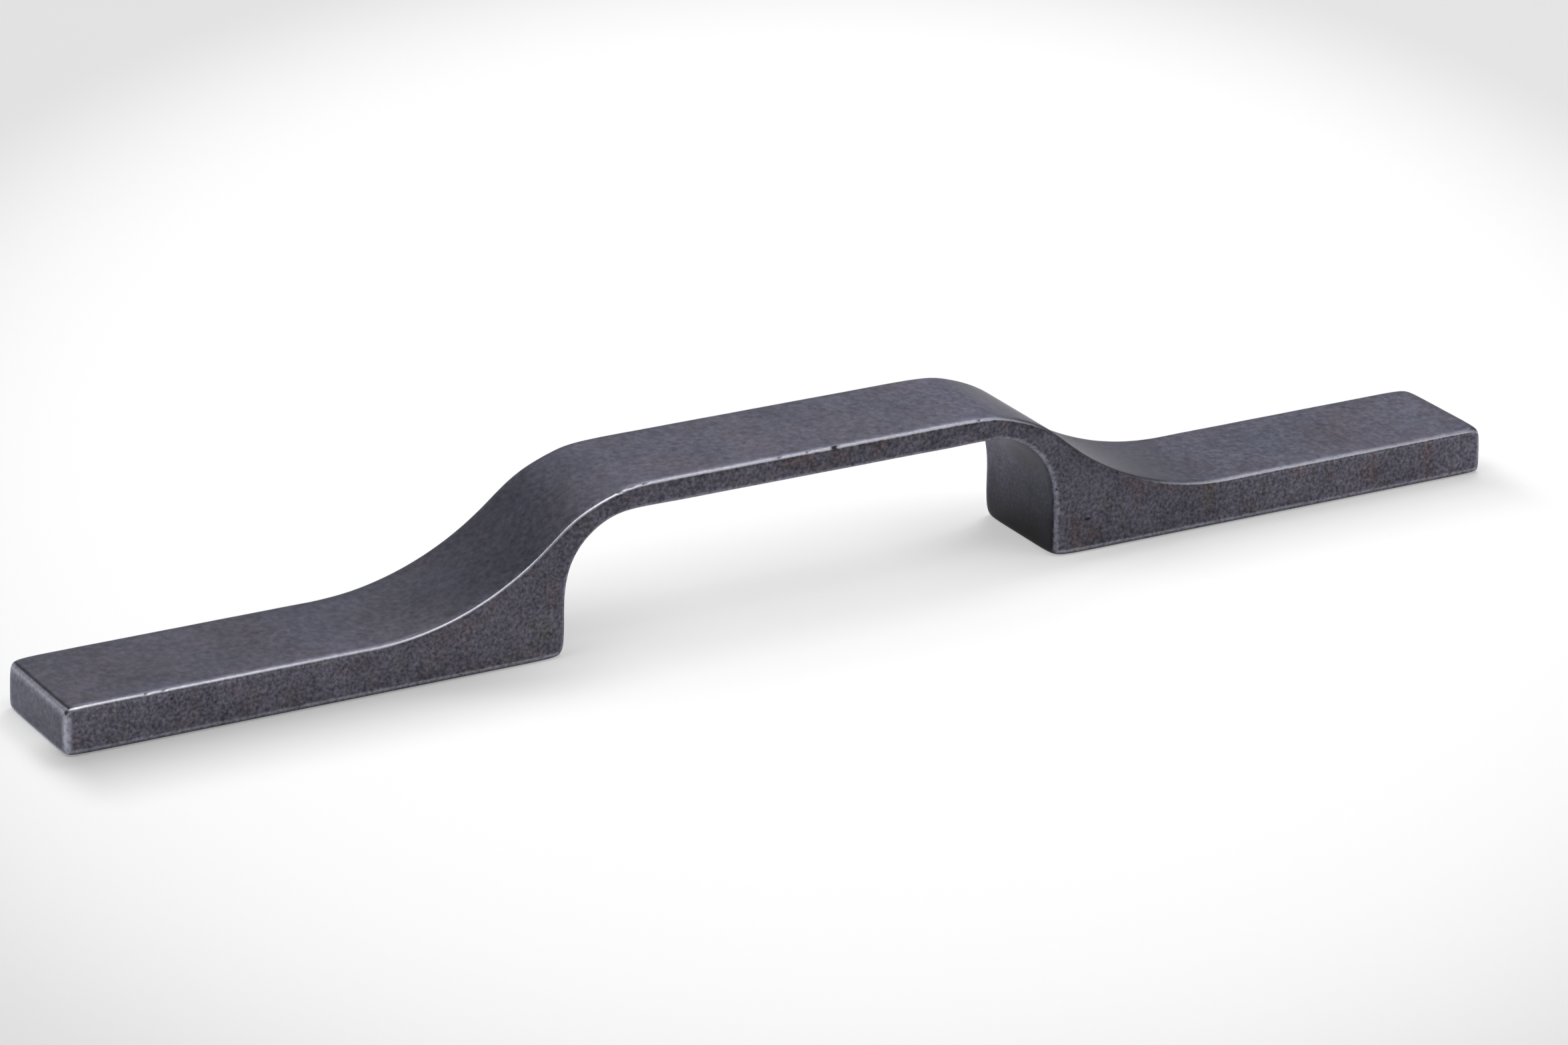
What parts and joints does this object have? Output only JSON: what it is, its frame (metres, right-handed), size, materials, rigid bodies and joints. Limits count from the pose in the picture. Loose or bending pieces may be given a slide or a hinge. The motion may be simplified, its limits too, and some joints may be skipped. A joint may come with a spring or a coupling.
{
  "type": "d pull handle",
  "caption": "Long low pull handle cast in one piece: flat wings lie on the door and sweep up over broad feet into a level bar grip with finger room below.",
  "frame": {"origin": "on the surface of the door that the handle lies on, midway between the two screw holes", "axes": "+X along the handle, +Y across it, +Z away from the door towards the hand"},
  "size_m": [0.292, 0.0252, 0.03],
  "materials": {
    "cast_metal": "tumbled cast metal with a dark pewter-grey patina, smooth top, finely pitted sides and rubbed bright edges"
  },
  "bodies": {
    "root": {"pull_handle": "cast_metal"}
  },
  "joints": []
}
